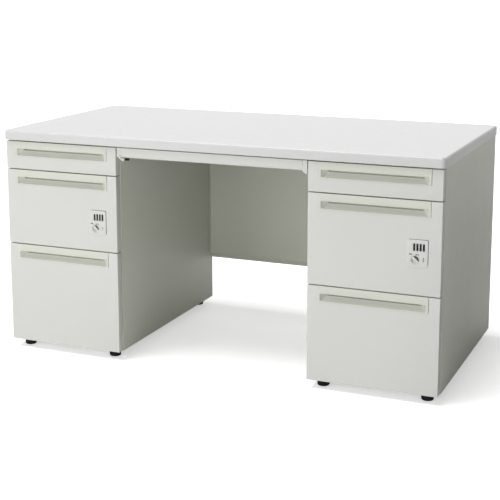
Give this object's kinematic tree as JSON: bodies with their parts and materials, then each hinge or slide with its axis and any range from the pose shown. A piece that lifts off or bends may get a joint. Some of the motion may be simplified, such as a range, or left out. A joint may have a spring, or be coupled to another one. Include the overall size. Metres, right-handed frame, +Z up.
{
  "type": "double-pedestal desk",
  "caption": "Steel pedestal desk with a white board top, pedestal drawers with recessed pulls and dial locks, a shallow centre drawer and a modesty panel.",
  "frame": {"origin": "on the floor, under the middle of the desktop", "axes": "+X to the sitter's right along the desk's length, +Y to the back of the desk, +Z up"},
  "size_m": [1.4, 0.7, 0.7],
  "materials": {
    "laminate": "white melamine board with a smooth post-formed edge",
    "case_paint": "warm light grey powder coat, fine texture, satin",
    "front_paint": "warm light grey powder coat, fine texture, satin",
    "tray_paint": "light grey paint, satin",
    "slide_steel": "bright zinc plate",
    "pull_plastic": "moulded, fine spark texture",
    "lock_plastic": "moulded, satin",
    "tray_plastic": "moulded, fine texture",
    "black_plastic": "moulded, satin"
  },
  "bodies": {
    "desk_frame": {"desktop": "laminate", "modesty_panel": "case_paint", "left_outer_shell": "case_paint", "left_inner_side": "case_paint", "left_base_pan": "case_paint", "left_top_frame": "case_paint", "left_outer_rails": "slide_steel", "left_inner_rails": "slide_steel", "left_hanger": "front_paint", "right_outer_shell": "case_paint", "right_inner_side": "case_paint", "right_base_pan": "case_paint", "right_top_frame": "case_paint", "right_outer_rails": "slide_steel", "right_inner_rails": "slide_steel", "right_hanger": "front_paint"},
    "centre_drawer": {"centre_drawer_front": "front_paint", "centre_drawer_tray": "tray_plastic"},
    "left_front_outer_foot": {"left_front_outer_foot": "black_plastic"},
    "left_rear_outer_foot": {"left_rear_outer_foot": "black_plastic"},
    "left_front_inner_foot": {"left_front_inner_foot": "black_plastic"},
    "left_rear_inner_foot": {"left_rear_inner_foot": "black_plastic"},
    "left_top_drawer": {"left_top_drawer_front": "front_paint", "left_top_drawer_pull": "pull_plastic", "left_top_drawer_tray": "tray_paint"},
    "left_middle_drawer": {"left_middle_drawer_front": "front_paint", "left_middle_drawer_pull": "pull_plastic", "left_middle_drawer_tray": "tray_paint", "left_lock_housing": "lock_plastic"},
    "left_bottom_drawer": {"left_bottom_drawer_front": "front_paint", "left_bottom_drawer_pull": "pull_plastic", "left_bottom_drawer_tray": "tray_paint"},
    "left_outer_slider": {"left_outer_slider": "slide_steel"},
    "left_inner_slider": {"left_inner_slider": "slide_steel"},
    "left_lock_dial_1": {"left_lock_dial_1": "black_plastic"},
    "left_lock_dial_2": {"left_lock_dial_2": "black_plastic"},
    "left_lock_dial_3": {"left_lock_dial_3": "black_plastic"},
    "left_lock_dial_4": {"left_lock_dial_4": "black_plastic"},
    "left_lock_thumb_turn": {"left_lock_thumb_turn": "lock_plastic"},
    "right_front_outer_foot": {"right_front_outer_foot": "black_plastic"},
    "right_rear_outer_foot": {"right_rear_outer_foot": "black_plastic"},
    "right_front_inner_foot": {"right_front_inner_foot": "black_plastic"},
    "right_rear_inner_foot": {"right_rear_inner_foot": "black_plastic"},
    "right_top_drawer": {"right_top_drawer_front": "front_paint", "right_top_drawer_pull": "pull_plastic", "right_top_drawer_tray": "tray_paint"},
    "right_middle_drawer": {"right_middle_drawer_front": "front_paint", "right_middle_drawer_pull": "pull_plastic", "right_middle_drawer_tray": "tray_paint", "right_lock_housing": "lock_plastic"},
    "right_bottom_drawer": {"right_bottom_drawer_front": "front_paint", "right_bottom_drawer_pull": "pull_plastic", "right_bottom_drawer_tray": "tray_paint"},
    "right_outer_slider": {"right_outer_slider": "slide_steel"},
    "right_inner_slider": {"right_inner_slider": "slide_steel"},
    "right_lock_dial_1": {"right_lock_dial_1": "black_plastic"},
    "right_lock_dial_2": {"right_lock_dial_2": "black_plastic"},
    "right_lock_dial_3": {"right_lock_dial_3": "black_plastic"},
    "right_lock_dial_4": {"right_lock_dial_4": "black_plastic"},
    "right_lock_thumb_turn": {"right_lock_thumb_turn": "lock_plastic"}
  },
  "joints": [
    {"name": "left_front_outer_foot_turn", "type": "hinge", "parent": "desk_frame", "child": "left_front_outer_foot", "pos_m": [-0.655, -0.301, 0.012], "axis": [0, 0, -1], "range_deg": [0, 2160]},
    {"name": "left_rear_outer_foot_turn", "type": "hinge", "parent": "desk_frame", "child": "left_rear_outer_foot", "pos_m": [-0.655, 0.31, 0.012], "axis": [0, 0, -1], "range_deg": [0, 2160]},
    {"name": "left_front_inner_foot_turn", "type": "hinge", "parent": "desk_frame", "child": "left_front_inner_foot", "pos_m": [-0.345, -0.301, 0.012], "axis": [0, 0, -1], "range_deg": [0, 2160]},
    {"name": "left_rear_inner_foot_turn", "type": "hinge", "parent": "desk_frame", "child": "left_rear_inner_foot", "pos_m": [-0.345, 0.31, 0.012], "axis": [0, 0, -1], "range_deg": [0, 2160]},
    {"name": "left_top_drawer_slide", "type": "slide", "parent": "desk_frame", "child": "left_top_drawer", "axis": [0, -1, 0], "range_m": [0, 0.4]},
    {"name": "left_middle_drawer_slide", "type": "slide", "parent": "desk_frame", "child": "left_middle_drawer", "axis": [0, -1, 0], "range_m": [0, 0.4]},
    {"name": "left_bottom_drawer_slide", "type": "slide", "parent": "desk_frame", "child": "left_bottom_drawer", "axis": [0, -1, 0], "range_m": [0, 0.54]},
    {"name": "left_outer_slider_travel", "type": "slide", "parent": "desk_frame", "child": "left_outer_slider", "axis": [0, -1, 0], "range_m": [0, 0.27]},
    {"name": "left_inner_slider_travel", "type": "slide", "parent": "desk_frame", "child": "left_inner_slider", "axis": [0, -1, 0], "range_m": [0, 0.27]},
    {"name": "left_lock_dial_1_spin", "type": "hinge", "parent": "left_middle_drawer", "child": "left_lock_dial_1", "pos_m": [-0.3828, -0.3355, 0.4473], "axis": [1, 0, 0], "continuous": true},
    {"name": "left_lock_dial_2_spin", "type": "hinge", "parent": "left_middle_drawer", "child": "left_lock_dial_2", "pos_m": [-0.3738, -0.3355, 0.4473], "axis": [1, 0, 0], "continuous": true},
    {"name": "left_lock_dial_3_spin", "type": "hinge", "parent": "left_middle_drawer", "child": "left_lock_dial_3", "pos_m": [-0.3648, -0.3355, 0.4473], "axis": [1, 0, 0], "continuous": true},
    {"name": "left_lock_dial_4_spin", "type": "hinge", "parent": "left_middle_drawer", "child": "left_lock_dial_4", "pos_m": [-0.3558, -0.3355, 0.4473], "axis": [1, 0, 0], "continuous": true},
    {"name": "left_lock_thumb_turn_turn", "type": "hinge", "parent": "left_middle_drawer", "child": "left_lock_thumb_turn", "pos_m": [-0.38, -0.344, 0.4115], "axis": [0, 1, 0], "range_deg": [0, 90]},
    {"name": "right_front_outer_foot_turn", "type": "hinge", "parent": "desk_frame", "child": "right_front_outer_foot", "pos_m": [0.655, -0.301, 0.012], "axis": [0, 0, -1], "range_deg": [0, 2160]},
    {"name": "right_rear_outer_foot_turn", "type": "hinge", "parent": "desk_frame", "child": "right_rear_outer_foot", "pos_m": [0.655, 0.31, 0.012], "axis": [0, 0, -1], "range_deg": [0, 2160]},
    {"name": "right_front_inner_foot_turn", "type": "hinge", "parent": "desk_frame", "child": "right_front_inner_foot", "pos_m": [0.345, -0.301, 0.012], "axis": [0, 0, -1], "range_deg": [0, 2160]},
    {"name": "right_rear_inner_foot_turn", "type": "hinge", "parent": "desk_frame", "child": "right_rear_inner_foot", "pos_m": [0.345, 0.31, 0.012], "axis": [0, 0, -1], "range_deg": [0, 2160]},
    {"name": "right_top_drawer_slide", "type": "slide", "parent": "desk_frame", "child": "right_top_drawer", "axis": [0, -1, 0], "range_m": [0, 0.4]},
    {"name": "right_middle_drawer_slide", "type": "slide", "parent": "desk_frame", "child": "right_middle_drawer", "axis": [0, -1, 0], "range_m": [0, 0.4]},
    {"name": "right_bottom_drawer_slide", "type": "slide", "parent": "desk_frame", "child": "right_bottom_drawer", "axis": [0, -1, 0], "range_m": [0, 0.54]},
    {"name": "right_outer_slider_travel", "type": "slide", "parent": "desk_frame", "child": "right_outer_slider", "axis": [0, -1, 0], "range_m": [0, 0.27]},
    {"name": "right_inner_slider_travel", "type": "slide", "parent": "desk_frame", "child": "right_inner_slider", "axis": [0, -1, 0], "range_m": [0, 0.27]},
    {"name": "right_lock_dial_1_spin", "type": "hinge", "parent": "right_middle_drawer", "child": "right_lock_dial_1", "pos_m": [0.6172, -0.3355, 0.4473], "axis": [1, 0, 0], "continuous": true},
    {"name": "right_lock_dial_2_spin", "type": "hinge", "parent": "right_middle_drawer", "child": "right_lock_dial_2", "pos_m": [0.6262, -0.3355, 0.4473], "axis": [1, 0, 0], "continuous": true},
    {"name": "right_lock_dial_3_spin", "type": "hinge", "parent": "right_middle_drawer", "child": "right_lock_dial_3", "pos_m": [0.6352, -0.3355, 0.4473], "axis": [1, 0, 0], "continuous": true},
    {"name": "right_lock_dial_4_spin", "type": "hinge", "parent": "right_middle_drawer", "child": "right_lock_dial_4", "pos_m": [0.6442, -0.3355, 0.4473], "axis": [1, 0, 0], "continuous": true},
    {"name": "right_lock_thumb_turn_turn", "type": "hinge", "parent": "right_middle_drawer", "child": "right_lock_thumb_turn", "pos_m": [0.62, -0.344, 0.4115], "axis": [0, 1, 0], "range_deg": [0, 90]},
    {"name": "centre_drawer_slide", "type": "slide", "parent": "desk_frame", "child": "centre_drawer", "axis": [0, -1, 0], "range_m": [0, 0.3]}
  ],
  "couplings": [
    {"joint": "left_outer_slider_travel", "follows": "left_bottom_drawer_slide", "ratio": 0.5},
    {"joint": "left_inner_slider_travel", "follows": "left_bottom_drawer_slide", "ratio": 0.5},
    {"joint": "right_outer_slider_travel", "follows": "right_bottom_drawer_slide", "ratio": 0.5},
    {"joint": "right_inner_slider_travel", "follows": "right_bottom_drawer_slide", "ratio": 0.5}
  ]
}
